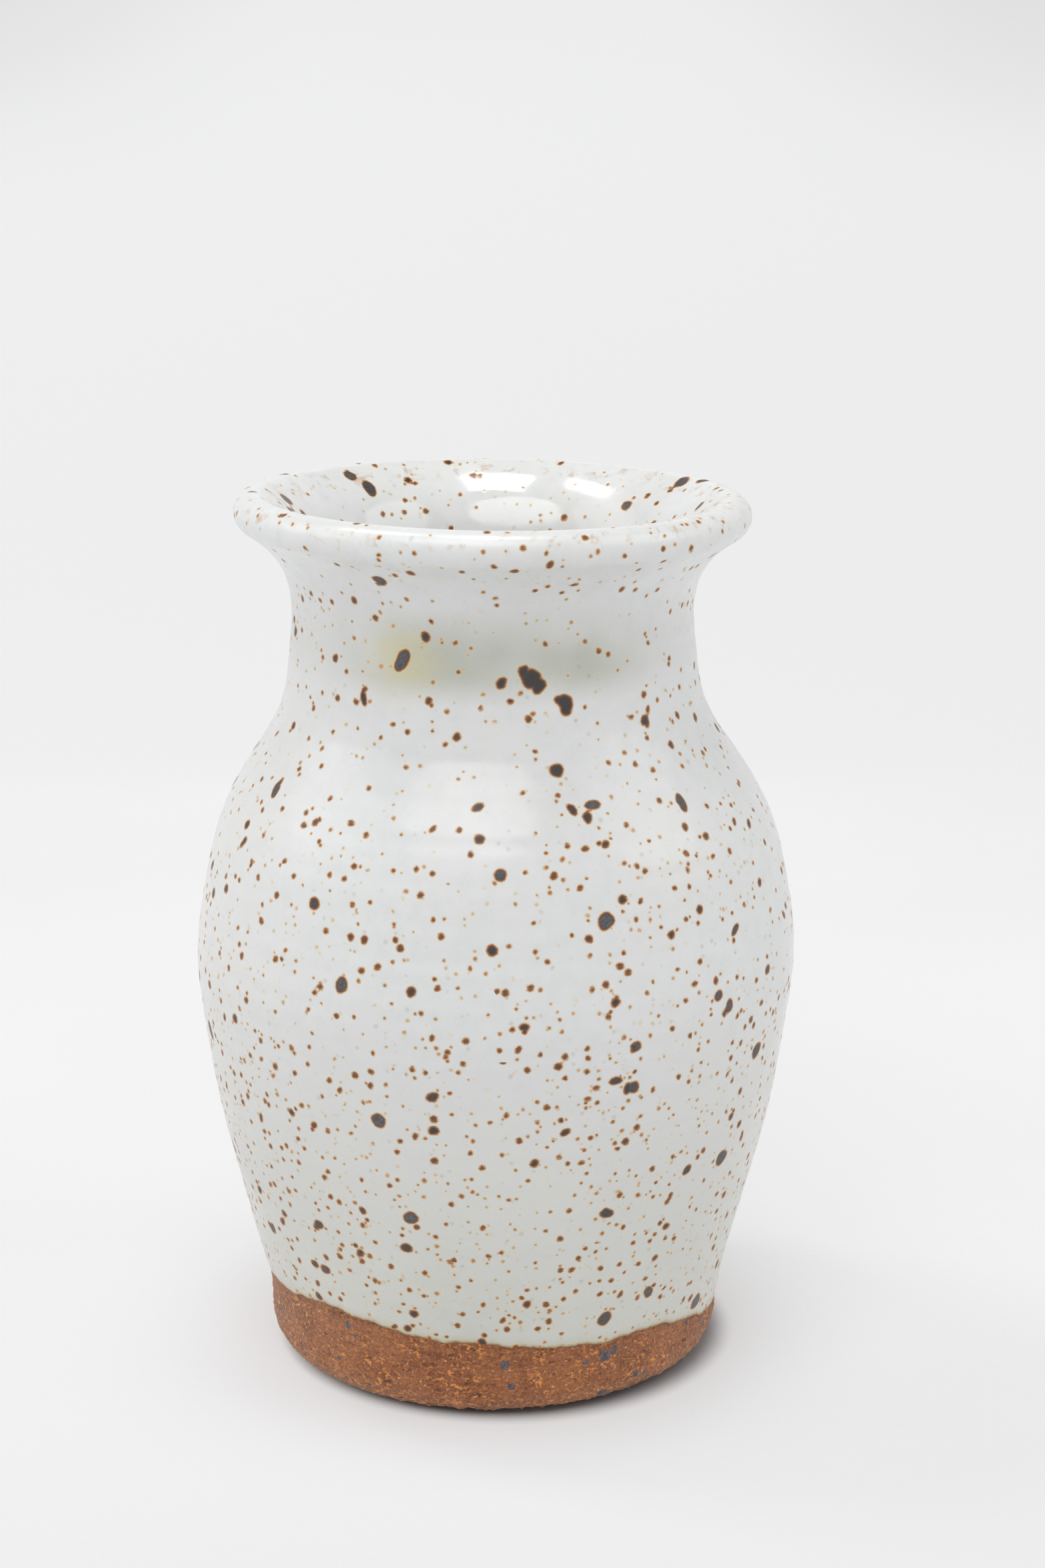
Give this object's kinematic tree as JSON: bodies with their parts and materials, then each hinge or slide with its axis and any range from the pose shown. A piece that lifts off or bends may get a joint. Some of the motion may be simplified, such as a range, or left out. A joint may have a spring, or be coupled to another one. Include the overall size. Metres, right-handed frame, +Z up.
{
  "type": "ceramic bud vase",
  "caption": "Small thrown stoneware bud vase for a few stems: round belly, short wide neck and rolled lip, with a speckled off-white glaze above a bare rust-brown clay foot.",
  "frame": {"origin": "centre of the foot ring, on the surface that the vase stands on", "axes": "+Z up along the vase's axis, out of its mouth; -Y towards the pictured front; +X to the right of it"},
  "size_m": [0.0788, 0.0788, 0.115],
  "materials": {
    "clay": "unglazed iron-rich stoneware, matt and gritty, rust brown with orange flecks and dark iron spots",
    "glaze": "smooth off-white semi-gloss glaze with slate and amber-brown iron speckles that grow denser towards the foot"
  },
  "bodies": {
    "root": {"clay_body": "clay", "glaze_coat": "glaze"}
  },
  "joints": []
}
